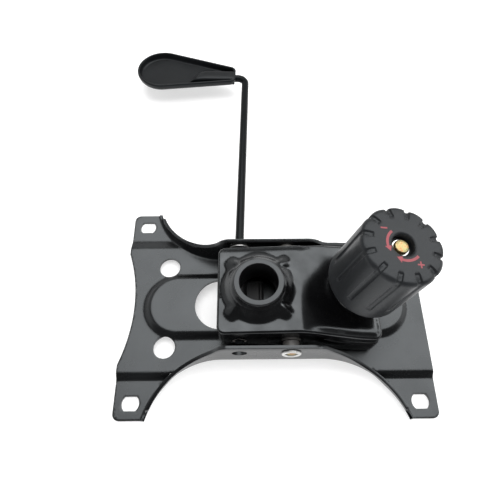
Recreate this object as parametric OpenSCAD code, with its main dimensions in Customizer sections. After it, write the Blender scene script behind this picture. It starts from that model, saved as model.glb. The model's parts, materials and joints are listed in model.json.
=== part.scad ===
// Swivel-tilt mechanism of an office chair, lying seat side down.
// +X points to the front of the chair, +Y to the lever side, +Z away from the seat.
// The origin is the centre of the four seat slots, on the face that bolts to the seat.

/* [Seat plate] */
// Sheet thickness of the seat plate
plate_t = 2.5; // [2:0.1:3]
// Distance between seat slots, front to back
slot_pitch_x = 216; // [205:1:235]
// Distance between seat slots, side to side
slot_pitch_y = 150; // [146:1:170]
// Length of a seat slot
slot_l = 13.5; // [11:0.5:16]
// Width of a seat slot
slot_w = 10.5; // [8:0.5:11]
// Slot centre to the rear or front edge of its ear
ear_end = 12.3; // [11:0.1:16]
// Slot centre to the side edge of its ear
ear_side = 12; // [10:0.5:16]
// Corner radius of an ear
ear_corner_r = 5; // [3:0.5:8]
// Height of the panel over the ears
panel_rise = 3.5; // [2.5:0.1:5]
// Half width of the panel, up to the step down to an ear
panel_half = 53; // [50:0.5:56]
// Width of the step between panel and ear
step_run = 6.5; // [4:0.5:8]
// Height of the long bead over the panel
bead_rise = 3.5; // [3.2:0.1:4.5]
// Half width of the bead at its foot
bead_half = 26.9; // [25:0.1:29]
// Slope width of the bead
bead_run = 3.6; // [3.2:0.1:5]
// Rear end of the bead
bead_rear_x = -103; // [-106:0.5:-100]
// Front end of the bead
bead_front_x = 108; // [104:0.5:112]
// Depth of the hollow in the rear edge
rear_hollow = 8.5; // [4:0.5:12]
// Half width of the hollow in the rear edge
rear_hollow_half = 47; // [40:1:52]
// Radius of the large opening under the hub
opening_r = 20.7; // [19.5:0.1:21]
// Rear end of the large opening
opening_rear_x = -62.6; // [-70:0.1:-58]
// Front end of the large opening
opening_front_x = -18; // [-20:0.5:0]
// Radius of the two round holes
hole_r = 8.5; // [5:0.5:10]
// Place of the round holes, front to back
hole_x = -85.4; // [-90:0.1:-82]
// Place of the round holes, from the middle
hole_y = 34; // [31:0.5:38]

/* [Side flanges] */
// Outer face of a side flange, from the middle
flange_half = 44; // [43:0.1:45.5]
// Height of the pivot stretch of a flange
flange_top = 38; // [37:0.5:42]
// Rear end of the pivot stretch
flange_rear_x = -40; // [-44:0.5:-38]
// Front end of the pivot stretch
flange_front_x = 34.5; // [28:0.5:38]
// Height of a flange where it runs out at the ears
lip_top = 6.5; // [6:0.1:9]
// Length over which a flange falls to the rear ears
rear_fall = 56; // [50:0.5:60]
// Length over which a flange falls to the front ears
front_fall = 58.5; // [52:0.5:62]
// Radius of the rear side bays
rear_bay_r = 58; // [54:0.5:60]
// Centre of the rear side bays
rear_bay_x = -40; // [-42:0.5:-36]
// Radius of the front side bays
front_bay_r = 66; // [60:0.5:68]
// Centre of the front side bays
front_bay_x = 31; // [28:0.5:33]
// Radius of the tilt lock hole
lock_hole_r = 5.6; // [4.5:0.1:6.5]

/* [Housing] */
// Sheet thickness of the housing
shell_t = 2.5; // [2:0.1:3]
// Half width of the housing
shell_half = 34.7; // [34:0.1:35.5]
// Rear end of the housing
shell_rear_x = -42.5; // [-46:0.5:-41]
// Front end of the housing
shell_front_x = 78; // [77.5:0.5:84]
// Height of the deck at its rear end
deck_rear_z = 43; // [42:0.5:45]
// Place of the crest in front of the hub
crest_x = 20; // [17:0.5:23]
// Height of the crest
crest_z = 47; // [45:0.5:49]
// Place of the knee where the spring face starts
knee_x = 34; // [31:0.5:36]
// Height of the knee
knee_z = 41; // [40:0.5:43]
// Lower edge of the housing at its rear end
skirt_rear_z = 21.5; // [21.3:0.1:23]
// Lower edge of the housing at its front end
skirt_front_z = 18; // [15:0.5:22]
// Place of the stop noses on the lower edge
nose_x = 26; // [24:0.5:27]
// Length of a stop nose
nose_l = 6; // [4:0.5:8]
// Place where the lower edge starts to rise to the front end
skirt_knee_x = 72; // [68:0.5:74]
// Height of the lower edge there
skirt_knee_z = 9; // [8.5:0.5:12]
// Corner radius of the housing, seen from above
shell_corner_r = 6; // [4:0.5:8]
// Foot radius of the pressed boss round the hub
boss_foot_r = 24.7; // [23:0.1:26]
// Top radius of the pressed boss
boss_top_r = 20.5; // [20:0.1:22]
// Height of the pressed boss
boss_top_z = 53; // [50:0.5:54]
// Width of a gusset of the boss
gusset_w = 6; // [4:0.5:9]
// Reach of a gusset from the hub axis
gusset_reach = 34; // [32:0.5:36]

/* [Gas lift hub] */
// Place of the hub axis
hub_x = -12; // [-14:0.5:-11]
// Mouth of the hub over the seat face
hub_top_z = 56; // [55:0.5:62]
// Inner end of the hub over the seat face
hub_end_z = 32.2; // [32:0.1:34]
// Radius of the gauge land at the mouth
hub_bore_r = 14; // [13.5:0.1:14.5]
// Length of the gauge land
hub_land = 12; // [8:0.5:14]
// Radius lost over the taper behind the land
hub_taper = 0.3; // [0.1:0.05:0.6]
// Wall of the hub tube
hub_wall = 4.4; // [3.5:0.1:4.6]
// Chamfer at the mouth
hub_chamfer = 0.4; // [0.2:0.1:1]
// Height of the brace plate
brace_z = 34.5; // [34:0.1:36]
// Thickness of the brace plate
brace_t = 2.5; // [2:0.1:3]
// Rear edge of the brace plate
brace_rear_x = -38; // [-39:0.5:-36]
// Front edge of the brace plate
brace_front_x = 15; // [10:0.5:20]
// Thickness of the cradle under the valve tongue
cradle_t = 1.8; // [1.5:0.1:1.9]
// Front end of the cradle
cradle_front_x = 2; // [0:0.5:3]
// Length of the cradle's side walls
cradle_wall_l = 24; // [20:0.5:26]
// How far the cradle reaches behind the rod
cradle_over = 1.5; // [1:0.1:2]

/* [Pivot] */
// Place of the tilt pivot
pivot_x = 11.3; // [11:0.1:14]
// Height of the tilt pivot
pivot_z = 27.7; // [26:0.1:28]
// Radius of the pivot shaft
pivot_r = 5; // [4:0.1:5.2]
// Radius of a shaft head
pivot_head_r = 7.35; // [6.5:0.05:9]
// Thickness of a shaft head
pivot_head_t = 2.2; // [1.5:0.1:3]
// Wall of a pivot bush
bush_wall = 1.5; // [1:0.1:2]
// Radius of a bush flange
bush_flange_r = 7.2; // [7:0.1:9]
// Thickness of a bush flange
bush_flange_t = 1.5; // [1:0.1:2]
// Radius of a spacer
spacer_r = 6.2; // [6:0.1:7]
// Largest tilt, in degrees
tilt_max = 12; // [8:0.5:12]

/* [Tension adjuster] */
// Lean of the bolt towards the front, in degrees
lean = 11; // [9:0.5:13]
// Place where the bolt passes the spring face
bolt_x = 60.2; // [58:0.1:61]
// Radius of the bolt
bolt_r = 4; // [3.5:0.1:4.5]
// Thread pitch of the bolt
bolt_pitch = 1.25; // [1:0.05:1.5]
// Radius of the ball head of the bolt
ball_r = 6.2; // [5.9:0.1:6.4]
// Depth of the bolt end below the knob face
bolt_sink = 2.5; // [1:0.5:4]
// Radius of the washer at the bolt end
end_washer_r = 5.6; // [5:0.1:6.5]
// Thickness of the washer at the bolt end
end_washer_t = 1; // [0.8:0.1:1.5]
// Gap from the spring face to the knob
knob_gap = 21; // [20:0.5:25]
// Height of the knob
knob_h = 56; // [52:0.5:60]
// Radius of the knob at its open end
knob_base_r = 28.2; // [27:0.1:30]
// Radius of the knob at its face
knob_face_r = 27.3; // [26:0.1:28]
// Edge round of the knob face
knob_edge_r = 3.5; // [3:0.5:5]
// Wall of the knob
knob_wall = 3; // [2.8:0.1:3.5]
// Radius of the boss inside the knob
knob_boss_r = 11; // [10:0.1:12]
// Radius of the recess in the knob face
recess_r = 7.6; // [7:0.1:9]
// Depth of the recess in the knob face
recess_depth = 6; // [5:0.5:8]
// Number of grip grooves
grip_count = 12; // [8:1:16]
// Radius of a notch at the knob's edge
notch_r = 1.8; // [1.6:0.1:2.4]
// Length of a notch
notch_l = 4; // [3:0.5:8]
// Radius of a grip groove
groove_r = 1.3; // [1:0.1:1.5]
// Distance from the open end to the groove ends
groove_start = 12; // [8:0.5:20]
// Width across flats of the knob nut
nut_flats = 13; // [12:0.5:14]
// Height of the knob nut
nut_h = 8; // [6.5:0.5:9]
// Wire diameter of the tension spring
wire_d = 4.6; // [4:0.1:5]
// Coil radius of the tension spring, at the wire's middle
coil_r = 13.5; // [13:0.1:13.7]
// Number of coils
coils = 6; // [5:1:6]
// Thickness of the spring cup and of the thrust washer
seat_t = 2; // [1.5:0.1:3]
// Radius of the spring cup and of the thrust washer
seat_r = 16.4; // [16.2:0.1:16.8]
// Height of the collar of the spring cup
collar_h = 3; // [2:0.5:3.5]
// Turns of the knob from loose to tight
knob_turns = 4; // [2:0.5:4]

/* [Lever] */
// Place of the lever rod
rod_x = -26.4; // [-27.5:0.1:-26]
// Height of the lever rod
rod_z = 26; // [25:0.1:26.2]
// Radius of the lever rod
rod_r = 3.5; // [3:0.1:3.6]
// Depth of the flat on the lever rod
flat_depth = 1.2; // [0.8:0.1:1.5]
// Tip of the rod past the housing
tip_reach = 1.3; // [0.6:0.1:1.5]
// Slide of the lever, from tilt to lock
lock_travel = 5; // [2:0.1:5]
// Lift of the lever, in degrees
lift_max = 15; // [8:1:15]
// Place where the rod kinks outside the flange
kink_y = 52; // [50:0.5:58]
// Splay of the outer rod towards the front, in degrees
splay = 1.64; // [0:0.02:3]
// Drop of the outer rod towards the seat, in degrees
drop = 2.86; // [1:0.02:3]
// Length of the outer rod, from the kink to the handle axis
reach = 191; // [150:1:210]
// Bend radius of the rod
bend_r = 8; // [6:0.5:12]
// Length of the rod inside the handle
tang = 42; // [30:1:46]
// Radius of the washer on the rod
clip_r = 8.6; // [7:0.1:9.8]
// Thickness of the washer on the rod
clip_t = 1; // [0.8:0.1:1.2]
// Wall of a rod bush
rod_bush_wall = 1.6; // [1.2:0.1:2]
// Radius of a rod bush flange
rod_bush_flange_r = 7; // [6.5:0.1:7.5]
// Thickness of a rod bush flange
rod_bush_flange_t = 1.2; // [1:0.1:1.5]
// Radius of the sleeve of the valve tongue
sleeve_r = 5.6; // [5.2:0.1:5.8]
// Half length of the sleeve of the valve tongue
sleeve_half = 19.2; // [18.8:0.1:22]
// Width of the valve tongue
tongue_w = 26; // [20:0.5:30]
// Thickness of the valve tongue
tongue_t = 3; // [2:0.1:3.5]
// Radius of the rolled nose of the tongue
tongue_nose_r = 2.2; // [1.8:0.1:2.6]
// Thickness of a guide lug under the brace
lug_t = 2; // [1.5:0.1:3]

/* [Handle] */
// Radius of the broad end of the handle
paddle_r = 25.8; // [22:0.1:28]
// Distance from the rod's bend to the broad end's centre
paddle_x = 85.5; // [76:0.5:92]
// Sideways place of the broad end's centre
paddle_y = 8.1; // [4:0.1:11]
// Radius of the neck end of the handle
neck_r = 11.2; // [10:0.1:14]
// Distance from the rod's bend to the neck end's centre
neck_x = 21; // [18:0.5:28]
// Sideways place of the neck end's centre
neck_y = 1.9; // [0:0.1:3]
// Distance from the rod's bend to the handle's end face
neck_face_x = 10; // [9.5:0.5:14]
// Depth of the handle below the rod's axis
handle_below = 4.6; // [4.5:0.1:6]
// Height of the handle's rim over the rod's axis
handle_above = 4.7; // [4.5:0.1:6]
// Wall of the handle
handle_wall = 2.6; // [2:0.1:3.2]
// Radius of the rod socket in the handle
socket_r = 5.4; // [5:0.1:6]
// Thickness of the handle's floor
handle_floor = 3.2; // [2.5:0.1:3.5]
// Rounding of the handle's underside
hull_r = 7.5; // [7:0.1:9]

/* [Stop pads] */
// Length of a stop pad
pad_l = 12; // [8:0.5:16]
// Width of a stop pad
pad_w = 6; // [4:0.5:8]
// Thickness of a stop pad
pad_t = 2; // [1.5:0.1:3]

/* [Fits] */
// Radial clearance of a running fit
run_gap = 0.05; // [0.02:0.01:0.1]
// Gap between faces that meet and move
face_gap = 0.3; // [0.2:0.05:0.4]
// Gap between pieces that are welded or pressed together
seat_gap = 0.05; // [0.02:0.01:0.1]
// Room round a loose passage
loose_gap = 0.6; // [0.5:0.1:1]

/* [Hidden] */
$fn = 64;

right = 1;
left = -1;
cut = 1;
tall = 200;
wide = 400;

// Seat plate
slot_x = slot_pitch_x / 2;
slot_y = slot_pitch_y / 2;
plate_end = slot_x + ear_end;
plate_half = slot_y + ear_side;
panel_top = panel_rise + plate_t;
bead_top = panel_top + bead_rise;
bead_under = panel_rise + bead_rise;
bead_top_half = bead_half - bead_run;
rear_hollow_r = (rear_hollow_half * rear_hollow_half + rear_hollow * rear_hollow) / (2 * rear_hollow);
slot_round = slot_w / 2;

// How a flange falls to the ears: shares of the fall's length, and of its height there
rear_drop = [[1, 0], [0.68, 0.11], [0.39, 0.286], [0.196, 0.51], [0.036, 0.78], [0, 1]];
front_drop = [[0, 1], [0.065, 0.76], [0.188, 0.476], [0.393, 0.168], [0.607, 0.048], [1, 0]];
flange_rise = flange_top - lip_top;
flange_profile = concat(
    [[-plate_end, lip_top]],
    [for (p = rear_drop) [flange_rear_x - p[0] * rear_fall, lip_top + p[1] * flange_rise]],
    [for (p = front_drop) [flange_front_x + p[0] * front_fall, lip_top + p[1] * flange_rise]],
    [[plate_end, lip_top]]
);

// Housing
face_slope = tan(lean);
function face_z(x) = knee_z - (x - knee_x) * face_slope;
shell_front_z = face_z(shell_front_x);
pad_top = panel_top + pad_t;
nose_z = pad_top + face_gap;
hub_tube_r = hub_bore_r + hub_wall;

// Bolt line: distances along it are counted from the spring face
spring_face_z = face_z(bolt_x);
knob_face = knob_gap + knob_h;
bolt_end = knob_face - bolt_sink;
recess_floor = knob_face - recess_depth;
nut_top = recess_floor - knob_wall;
nut_foot = nut_top - nut_h;
thrust_top = nut_foot - face_gap;
thrust_foot = thrust_top - seat_t;
bolt_slot_half = bolt_r + loose_gap;
ball_lift = sqrt(ball_r * ball_r - bolt_slot_half * bolt_slot_half);
ball_z = bead_under - ball_lift - face_gap;
ball_s = (ball_z - spring_face_z) / cos(lean);
ball_x = bolt_x + ball_s * sin(lean);
ball_cut = 0.3;

// The bolt is drawn through the spring face by this much at full tilt
function turned_z(a) = (ball_x - pivot_x) * sin(a) + (ball_z - pivot_z) * cos(a);
bolt_draw = (turned_z(tilt_max) - (ball_z - pivot_z)) / cos(tilt_max - lean);
ball_shift = (ball_x - pivot_x - bolt_draw * sin(lean)) * cos(tilt_max)
    - (ball_z - pivot_z - bolt_draw * cos(lean)) * sin(tilt_max) - (ball_x - pivot_x);

// Spring
spring_foot = seat_t + face_gap;
spring_top = thrust_foot - face_gap;
end_pitch = wire_d + 0.6;
mid_pitch = (spring_top - spring_foot - wire_d - 2 * end_pitch) / (coils - 2);
rings_a_coil = 8;
wire_sides = 6;

// Lever
wall_in = shell_half - shell_t;
flange_in = flange_half - plate_t;
bush_r = pivot_r + run_gap + bush_wall;
rod_bush_r = rod_r + run_gap + rod_bush_wall;
clip_outer = flange_in - 0.5;
clip_inner = clip_outer - clip_t;
tip_y = -shell_half - tip_reach;
flat_z = rod_r - flat_depth;
rod_arm_x = rod_x - pivot_x;
rod_arm_z = rod_z - pivot_z;
rod_sunk_x = rod_arm_x * cos(tilt_max) - rod_arm_z * sin(tilt_max) - rod_arm_x;
rod_sunk_z = rod_arm_x * sin(tilt_max) + rod_arm_z * cos(tilt_max) - rod_arm_z;
rod_slot_r = rod_r + loose_gap;
tongue_top = rod_z - 0.5;
hull_steps = 4;
cradle_foot = rod_z - sleeve_r - face_gap - cradle_t;
tongue_reach = hub_x + 2 - rod_x;

// A square-on plate seen from above, with round corners
module round_plate(x0, x1, half, r) {
    for (x = [x0 + r, x1 - r], y = [-half + r, half - r])
        translate([x, y]) circle(r);
    translate([x0 + r, -half]) square([x1 - x0 - 2 * r, 2 * half]);
    translate([x0, -half + r]) square([x1 - x0, 2 * half - 2 * r]);
}

// A long hole with round ends, along X, centred on its rear end circle
module long_hole(length, r) {
    circle(r);
    translate([length, 0]) circle(r);
    translate([0, -r]) square([length, 2 * r]);
}

// Two circles joined by their outer tangents
module teardrop(r1, p1, r2, p2) {
    d = p2 - p1;
    span = norm(d);
    turn = atan2(d[1], d[0]);
    open = acos((r1 - r2) / span);
    translate(p1) circle(r1);
    translate(p2) circle(r2);
    polygon([
        p1 + r1 * [cos(turn + open), sin(turn + open)],
        p1 + r1 * [cos(turn - open), sin(turn - open)],
        p2 + r2 * [cos(turn - open), sin(turn - open)],
        p2 + r2 * [cos(turn + open), sin(turn + open)]
    ]);
}

// Children drawn in (x, z) are extruded along Y between two places
module along_y(y0, y1) {
    translate([0, y1, 0]) rotate([90, 0, 0]) linear_extrude(y1 - y0) children();
}

// Children drawn in (y, z) are extruded along X between two places
module along_x(x0, x1) {
    translate([x0, 0, 0]) rotate([90, 0, 90]) linear_extrude(x1 - x0) children();
}

// A round bar along Y between two places
module bar_y(x, z, y0, y1, r) {
    translate([x, y1, z]) rotate([90, 0, 0]) cylinder(h = y1 - y0, r = r);
}

// Children stand on the spring face, with Z along the bolt
module on_bolt() {
    translate([bolt_x, 0, spring_face_z]) rotate([0, lean, 0]) children();
}

// The space of a side bay, with its edge moved inwards by grow
module bay(grow) {
    edge = flange_half - grow;
    translate([rear_bay_x, flange_half + rear_bay_r]) circle(rear_bay_r + grow, $fn = 128);
    translate([front_bay_x, flange_half + front_bay_r]) circle(front_bay_r + grow, $fn = 128);
    translate([rear_bay_x, edge]) square([front_bay_x - rear_bay_x, tall]);
}

// Outline of the seat plate, with its side bays cut out
module plate_outline() {
    difference() {
        round_plate(-plate_end, plate_end, plate_half, ear_corner_r);
        for (side = [right, left])
            scale([1, side]) bay(0);
        translate([-plate_end + rear_hollow - rear_hollow_r, 0]) circle(rear_hollow_r, $fn = 192);
    }
}

// Cross-section of panel, steps and ears, from its underside up by a height
module plate_section(height) {
    outer = panel_half + step_run;
    polygon([
        [-wide, 0], [-outer, 0], [-panel_half, panel_rise], [panel_half, panel_rise], [outer, 0], [wide, 0],
        [wide, height], [outer, height], [panel_half, panel_rise + height],
        [-panel_half, panel_rise + height], [-outer, height], [-wide, height]
    ]);
}

// The raised form of the long bead, standing on z
module bead(z) {
    for (x = [bead_rear_x + bead_half, bead_front_x - bead_half])
        translate([x, 0, z]) cylinder(h = bead_rise, r1 = bead_half, r2 = bead_top_half);
    along_x(bead_rear_x + bead_half, bead_front_x - bead_half)
        polygon([
            [-bead_half, z], [bead_half, z],
            [bead_top_half, z + bead_rise], [-bead_top_half, z + bead_rise]
        ]);
}

// One upright side flange, on the positive side
module side_flange() {
    intersection() {
        linear_extrude(tall) intersection() {
            difference() {
                bay(plate_t);
                bay(0);
            }
            round_plate(-plate_end, plate_end, plate_half, ear_corner_r);
        }
        along_y(0, tall) polygon(concat([[-plate_end, 0]], flange_profile, [[plate_end, 0]]));
        along_x(-plate_end, plate_end) plate_section(tall);
    }
}

module seat_plate() {
    color("#3a3c3f") difference() {
        union() {
            intersection() {
                along_x(-plate_end, plate_end) plate_section(plate_t);
                linear_extrude(tall) plate_outline();
            }
            bead(panel_top);
            side_flange();
            mirror([0, 1, 0]) side_flange();
        }
        translate([0, 0, -cut]) bead(panel_rise + cut);
        for (x = [-slot_x, slot_x], y = [-slot_y, slot_y])
            translate([x - slot_l / 2 + slot_round, y, -cut])
                linear_extrude(tall) long_hole(slot_l - slot_w, slot_round);
        for (y = [-hole_y, hole_y])
            translate([hole_x, y, -cut]) cylinder(h = bead_top + 2 * cut, r = hole_r);
        translate([opening_rear_x + opening_r, 0, -cut]) linear_extrude(bead_top + 2 * cut)
            long_hole(opening_front_x - opening_rear_x - 2 * opening_r, opening_r);
        translate([ball_x - loose_gap, 0, 0]) linear_extrude(bead_top + cut)
            long_hole(ball_shift + 3 * loose_gap, bolt_slot_half);
        bar_y(pivot_x, pivot_z, -tall, tall, pivot_r);
        bar_y(rod_x, rod_z, -tall, 0, lock_hole_r);
        for (k = [0, 1])
            bar_y(rod_x + k * rod_sunk_x, rod_z + k * rod_sunk_z, 0, tall, rod_slot_r);
        along_y(0, tall) polygon([
            [rod_x - rod_slot_r, rod_z], [rod_x + rod_slot_r, rod_z],
            [rod_x + rod_sunk_x + rod_slot_r, rod_z + rod_sunk_z],
            [rod_x + rod_sunk_x - rod_slot_r, rod_z + rod_sunk_z]
        ]);
    }
}

// A rubber pad on the panel, under a stop nose
module stop_pad(side) {
    color("#1c1c1c") translate([nose_x, side * (shell_half - shell_t / 2), panel_top])
        linear_extrude(pad_t) round_plate(-pad_l / 2, pad_l / 2, pad_w / 2, 1.5);
}

// Side view of the housing, drawn in by an inset
module shell_side(inset, low) {
    polygon([
        [shell_rear_x + inset, skirt_rear_z - low], [shell_rear_x + inset, deck_rear_z - inset],
        [crest_x, crest_z - inset], [knee_x, knee_z - inset],
        [shell_front_x - inset, shell_front_z - inset], [shell_front_x - inset, skirt_front_z - low],
        [skirt_knee_x, skirt_knee_z - low],
        [nose_x + nose_l / 2, nose_z - low], [nose_x - nose_l / 2, nose_z - low]
    ]);
}

// The space over the middle of the housing's sheet
module over_deck() {
    middle = shell_t / 2;
    along_y(-tall, tall) polygon([
        [shell_rear_x, deck_rear_z - middle], [crest_x, crest_z - middle], [knee_x, knee_z - middle],
        [knee_x, tall], [shell_rear_x, tall]
    ]);
}

// Pressed boss with four gussets, round the hub
module boss() {
    intersection() {
        over_deck();
        translate([hub_x, 0, 0]) union() {
            translate([0, 0, deck_rear_z - shell_t])
                cylinder(h = boss_top_z - deck_rear_z + shell_t, r1 = boss_foot_r, r2 = boss_top_r);
            for (turn = [45:90:315])
                rotate([0, 0, turn]) along_y(-gusset_w / 2, gusset_w / 2) polygon([
                    [0, 0], [gusset_reach, 0], [gusset_reach, deck_rear_z],
                    [boss_top_r, boss_top_z - 2], [0, boss_top_z - 2]
                ]);
        }
    }
}

module housing() {
    color("#16171a") difference() {
        union() {
            difference() {
                intersection() {
                    along_y(-shell_half, shell_half) shell_side(0, 0);
                    linear_extrude(tall)
                        round_plate(shell_rear_x, shell_front_x, shell_half, shell_corner_r);
                }
                intersection() {
                    along_y(-wall_in, wall_in) shell_side(shell_t, cut);
                    linear_extrude(tall) round_plate(
                        shell_rear_x + shell_t, shell_front_x - shell_t, wall_in, shell_corner_r - shell_t);
                }
            }
            boss();
        }
        translate([hub_x, 0, 0]) cylinder(h = tall, r = hub_tube_r + seat_gap);
        on_bolt() translate([0, 0, -tall / 8]) cylinder(h = tall / 4, r = bolt_r + loose_gap);
        bar_y(pivot_x, pivot_z, -tall, tall, bush_r + seat_gap);
        bar_y(rod_x, rod_z, -tall, tall, rod_bush_r + seat_gap);
    }
}

module hub_tube() {
    land_z = hub_top_z - hub_land;
    color("#5a5c5f") translate([hub_x, 0, 0]) rotate_extrude($fn = 96) polygon([
        [hub_bore_r - hub_taper, hub_end_z], [hub_tube_r, hub_end_z], [hub_tube_r, hub_top_z],
        [hub_bore_r + hub_chamfer, hub_top_z], [hub_bore_r, hub_top_z - hub_chamfer], [hub_bore_r, land_z]
    ]);
}

// Plate across the housing that carries the hub's inner end and guides the tongue
module hub_brace() {
    lug_y = sleeve_half + face_gap;
    brace_half = wall_in - seat_gap;
    color("#2b2d30") difference() {
        union() {
            translate([0, 0, brace_z]) linear_extrude(brace_t)
                round_plate(brace_rear_x, brace_front_x, brace_half, 2);
            for (side = [right, left])
                scale([1, side, 1]) along_y(lug_y, lug_y + lug_t) union() {
                    translate([rod_x, rod_z]) circle(rod_r + loose_gap + lug_t);
                    translate([rod_x - rod_r - loose_gap - lug_t, rod_z])
                        square([2 * (rod_r + loose_gap + lug_t), brace_z + brace_t / 2 - rod_z]);
                    translate([cradle_front_x - cradle_wall_l, cradle_foot])
                        square([cradle_wall_l, brace_z + brace_t / 2 - cradle_foot]);
                }
            along_y(-lug_y - lug_t, lug_y + lug_t) translate([rod_x - cradle_over, cradle_foot])
                square([cradle_front_x + cradle_over - rod_x, cradle_t]);
        }
        translate([hub_x, 0, brace_z - cut]) cylinder(h = tall, r = hub_tube_r + seat_gap);
        bar_y(rod_x, rod_z, -tall, tall, rod_r + loose_gap);
    }
}

// Shaft through both flanges, with a hollow riveted head at each end
module pivot_shaft() {
    color("#c9c7bd") difference() {
        union() {
            bar_y(pivot_x, pivot_z, -flange_half, flange_half, pivot_r - seat_gap);
            for (side = [right, left])
                scale([1, side, 1]) bar_y(pivot_x, pivot_z, flange_half, flange_half + pivot_head_t, pivot_head_r);
        }
        for (side = [right, left])
            scale([1, side, 1]) bar_y(pivot_x, pivot_z, flange_half - pivot_head_t,
                flange_half + pivot_head_t + cut, pivot_r / 2);
    }
}

module pivot_bush(side) {
    color("#d8d5c8") scale([1, side, 1]) difference() {
        union() {
            bar_y(pivot_x, pivot_z, wall_in - 1, shell_half, bush_r);
            bar_y(pivot_x, pivot_z, shell_half, shell_half + bush_flange_t, bush_flange_r);
        }
        bar_y(pivot_x, pivot_z, 0, tall, pivot_r - seat_gap + run_gap);
    }
}

module pivot_spacer(side) {
    color("#9a9c9e") scale([1, side, 1]) difference() {
        bar_y(pivot_x, pivot_z, shell_half + bush_flange_t + face_gap, flange_in - seat_gap, spacer_r);
        bar_y(pivot_x, pivot_z, 0, tall, pivot_r - seat_gap + run_gap);
    }
}

// Long bolt with a flat-cut ball head that swings in the slot of the bead
module tension_bolt() {
    color("#c2a24a") on_bolt() {
        translate([0, 0, ball_s]) cylinder(h = bolt_end - ball_s - 1, r = bolt_r);
        translate([0, 0, bolt_end - 1]) cylinder(h = 1, r1 = bolt_r, r2 = bolt_r - 0.8);
        intersection() {
            translate([0, 0, ball_s]) sphere(ball_r);
            translate([-wide / 2, -wide / 2, ball_s - ball_cut]) cube([wide, wide, wide]);
        }
    }
}

module bolt_end_washer() {
    color("#c8c8c8") on_bolt() translate([0, 0, recess_floor + face_gap]) difference() {
        cylinder(h = end_washer_t, r = end_washer_r);
        translate([0, 0, -cut]) cylinder(h = end_washer_t + 2 * cut, r = bolt_r + seat_gap);
    }
}

// Lower spring seat, with a collar that centres the spring
module spring_cup() {
    collar_r = (coil_r - wire_d / 2) * cos(180 / rings_a_coil) - face_gap;
    color("#8d8f92") on_bolt() difference() {
        union() {
            cylinder(h = seat_t, r = seat_r);
            cylinder(h = seat_t + collar_h, r = collar_r);
        }
        translate([0, 0, -cut]) cylinder(h = seat_t + collar_h + 2 * cut, r = bolt_r + loose_gap);
    }
}

// Height of the spring's wire after a number of turns: close end coils, open middle coils
function wire_z(turn) = spring_foot + wire_d / 2
    + end_pitch * (min(turn, 1) + max(turn - coils + 1, 0))
    + mid_pitch * min(max(turn - 1, 0), coils - 2);
function wire_point(turn) = [coil_r * cos(360 * turn), coil_r * sin(360 * turn), wire_z(turn)];

module tension_spring() {
    last = coils * rings_a_coil;
    top_ring = last * wire_sides;
    side_step = 360 / wire_sides;
    points = [
        for (i = [0:last], k = [0:wire_sides - 1])
            let (turn = i / rings_a_coil, out = coil_r + wire_d / 2 * cos(side_step * k))
            [out * cos(360 * turn), out * sin(360 * turn), wire_z(turn) + wire_d / 2 * sin(side_step * k)]
    ];
    walls = [
        for (i = [0:last - 1], k = [0:wire_sides - 1])
            let (a = i * wire_sides + k, b = i * wire_sides + (k + 1) % wire_sides)
            each [[a, a + wire_sides, b], [b, a + wire_sides, b + wire_sides]]
    ];
    ends = [
        for (k = [1:wire_sides - 2])
            each [[0, k, k + 1], [top_ring, top_ring + k + 1, top_ring + k]]
    ];
    gap = min([
        for (i = [0:last - rings_a_coil])
            norm(wire_point(i / rings_a_coil) - wire_point(1 + i / rings_a_coil)) - wire_d
    ]);
    echo(least_gap_of_the_spring = gap);
    color("#3b3d40") on_bolt() polyhedron(points, concat(walls, ends));
}

module thrust_washer() {
    color("#9a9c9e") on_bolt() translate([0, 0, thrust_foot]) difference() {
        cylinder(h = seat_t, r = seat_r);
        translate([0, 0, -cut]) cylinder(h = seat_t + 2 * cut, r = bolt_r + loose_gap);
    }
}

// Hollow knob: a cup with a nut boss inside, a recess in its face and grip grooves outside
module knob() {
    taper = (knob_base_r - knob_face_r) / knob_h;
    side_turn = atan(taper);
    face_in = knob_face - recess_depth;
    function side_r(s) = knob_base_r - (s - knob_gap) * taper;
    color("#232427") on_bolt() difference() {
        union() {
            rotate_extrude($fn = 96) polygon(concat(
                [[side_r(knob_gap) - knob_wall, knob_gap], [side_r(knob_gap), knob_gap]],
                [
                    for (a = [0:15:90])
                        [side_r(knob_face - knob_edge_r) - knob_edge_r * (1 - cos(a)),
                         knob_face - knob_edge_r * (1 - sin(a))]
                ],
                [[0, knob_face], [0, face_in], [side_r(face_in) - knob_wall, face_in]]
            ));
            translate([0, 0, nut_foot]) cylinder(h = knob_face - nut_foot - 1, r = knob_boss_r);
        }
        translate([0, 0, recess_floor]) cylinder(h = tall, r = recess_r);
        cylinder(h = tall, r = bolt_r + loose_gap);
        translate([0, 0, nut_foot - cut]) cylinder(h = nut_h + cut, d = (nut_flats + 2 * seat_gap) / cos(30), $fn = 6);
        for (k = [0:grip_count - 1]) rotate([0, 0, 360 / grip_count * (k + 0.5)]) {
            translate([side_r(knob_face) + notch_r * 0.3, 0, knob_face - notch_l]) {
                cylinder(h = tall, r = notch_r);
                sphere(notch_r);
            }
            translate([side_r(knob_gap + groove_start) + groove_r * 0.3, 0, knob_gap + groove_start])
                rotate([0, -side_turn, 0]) {
                    cylinder(h = tall, r = groove_r);
                    sphere(groove_r);
                }
        }
    }
}

module knob_nut() {
    color("#c2a24a") on_bolt() translate([0, 0, nut_foot]) difference() {
        cylinder(h = nut_h, d = nut_flats / cos(30), $fn = 6);
        translate([0, 0, -cut]) cylinder(h = nut_h + 2 * cut, r = bolt_r + run_gap);
    }
}

// Children lie in the outer lever's own frame: Y along the outer rod, -X along the handle
module on_lever() {
    translate([rod_x, kink_y, rod_z]) rotate([-drop, 0, -splay]) children();
}

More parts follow.
